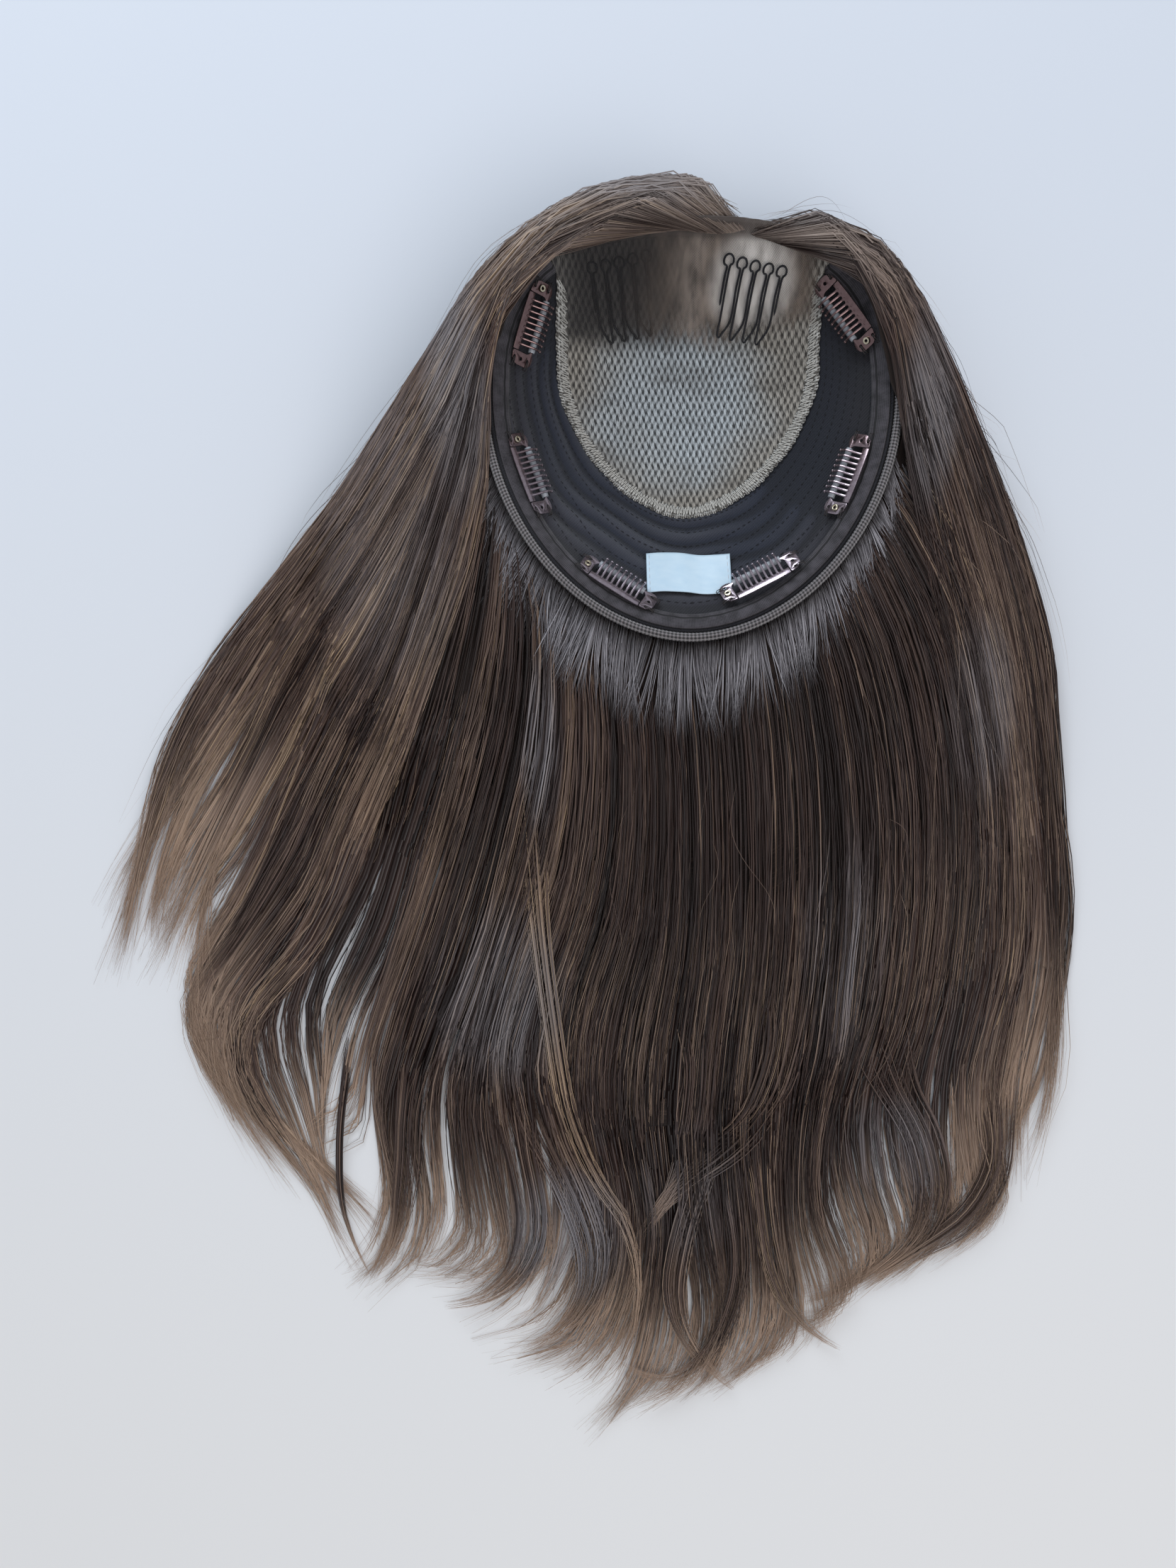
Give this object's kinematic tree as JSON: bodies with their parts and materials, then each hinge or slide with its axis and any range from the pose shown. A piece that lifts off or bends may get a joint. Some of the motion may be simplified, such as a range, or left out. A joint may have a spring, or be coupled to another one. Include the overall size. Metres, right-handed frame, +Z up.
{
  "type": "hair topper",
  "caption": "Hair topper lying on its crown: oval stretch cap with silk top, lace front, wire combs, snap clips and a bare label, and long wavy hair spread below it.",
  "frame": {"origin": "on the ground, under the middle of the whole piece as it lies", "axes": "+X to the right and +Y towards the front hairline, seen from above into the hollow; +Z up out of the hollow"},
  "size_m": [0.3799, 0.4816, 0.056],
  "materials": {
    "stretch_fabric": "matte black-brown stretch knit with rows of stitching",
    "silk_mesh": "greige silk knit with raised zigzag loops",
    "scalloped_ribbon": "cream zigzag overlock ribbon",
    "fine_lace": "sheer tan lace with a soft sheen",
    "rim_tape": "flat ribbed dark tape",
    "braided_binding": "dark braided elastic",
    "label_satin": "smooth white satin, bare",
    "comb_wire": "black coated round wire",
    "clip_enamel": "glossy brown enamel on spring steel",
    "silicone_tube": "clear soft tube",
    "eyelet_brass": "bright rolled eyelet",
    "hair": "dark brown hair with caramel strands, silky",
    "short_hair": "short dark hair with a grey sheen"
  },
  "bodies": {
    "root": {"cap_shell": "stretch_fabric", "clip_lower_left_eyelet": "eyelet_brass", "clip_lower_left_frame": "clip_enamel", "clip_lower_left_tube": "silicone_tube", "clip_lower_right_eyelet": "eyelet_brass", "clip_lower_right_frame": "clip_enamel", "clip_lower_right_tube": "silicone_tube", "clip_mid_left_eyelet": "eyelet_brass", "clip_mid_left_frame": "clip_enamel", "clip_mid_left_tube": "silicone_tube", "clip_mid_right_eyelet": "eyelet_brass", "clip_mid_right_frame": "clip_enamel", "clip_mid_right_tube": "silicone_tube", "clip_upper_left_eyelet": "eyelet_brass", "clip_upper_left_frame": "clip_enamel", "clip_upper_left_tube": "silicone_tube", "clip_upper_right_eyelet": "eyelet_brass", "clip_upper_right_frame": "clip_enamel", "clip_upper_right_tube": "silicone_tube", "hair_back": "hair", "hair_crown": "hair", "hair_left": "hair", "hair_right": "hair", "hair_rim_fringe": "short_hair", "inset_border": "scalloped_ribbon", "label": "label_satin", "lace_front": "fine_lace", "lace_top": "silk_mesh", "rim_binding": "braided_binding", "rim_tape": "rim_tape", "wire_comb_left": "comb_wire", "wire_comb_right": "comb_wire"},
    "teeth_upper_left": {"clip_upper_left_comb": "clip_enamel"},
    "teeth_mid_left": {"clip_mid_left_comb": "clip_enamel"},
    "teeth_lower_left": {"clip_lower_left_comb": "clip_enamel"},
    "teeth_lower_right": {"clip_lower_right_comb": "clip_enamel"},
    "teeth_mid_right": {"clip_mid_right_comb": "clip_enamel"},
    "teeth_upper_right": {"clip_upper_right_comb": "clip_enamel"}
  },
  "joints": [
    {"name": "snap_upper_left", "type": "hinge", "parent": "root", "child": "teeth_upper_left", "pos_m": [-0.0278, 0.18343, 0.04515], "axis": [-0.2951, -0.952, -0.0815], "range_deg": [0, 35]},
    {"name": "snap_mid_left", "type": "hinge", "parent": "root", "child": "teeth_mid_left", "pos_m": [-0.02825, 0.12474, 0.04578], "axis": [0.345, -0.9386, 0.0033], "range_deg": [0, 35]},
    {"name": "snap_lower_left", "type": "hinge", "parent": "root", "child": "teeth_lower_left", "pos_m": [0.00651, 0.08149, 0.04589], "axis": [0.8452, -0.5337, 0.027], "range_deg": [0, 35]},
    {"name": "snap_lower_right", "type": "hinge", "parent": "root", "child": "teeth_lower_right", "pos_m": [0.06392, 0.08333, 0.04562], "axis": [0.8896, 0.4539, 0.0506], "range_deg": [0, 35]},
    {"name": "snap_mid_right", "type": "hinge", "parent": "root", "child": "teeth_mid_right", "pos_m": [0.09918, 0.12449, 0.04485], "axis": [0.3609, 0.9326, 0.0064], "range_deg": [0, 35]},
    {"name": "snap_upper_right", "type": "hinge", "parent": "root", "child": "teeth_upper_right", "pos_m": [0.09747, 0.18923, 0.04572], "axis": [-0.564, 0.8195, -0.1015], "range_deg": [0, 35]}
  ]
}
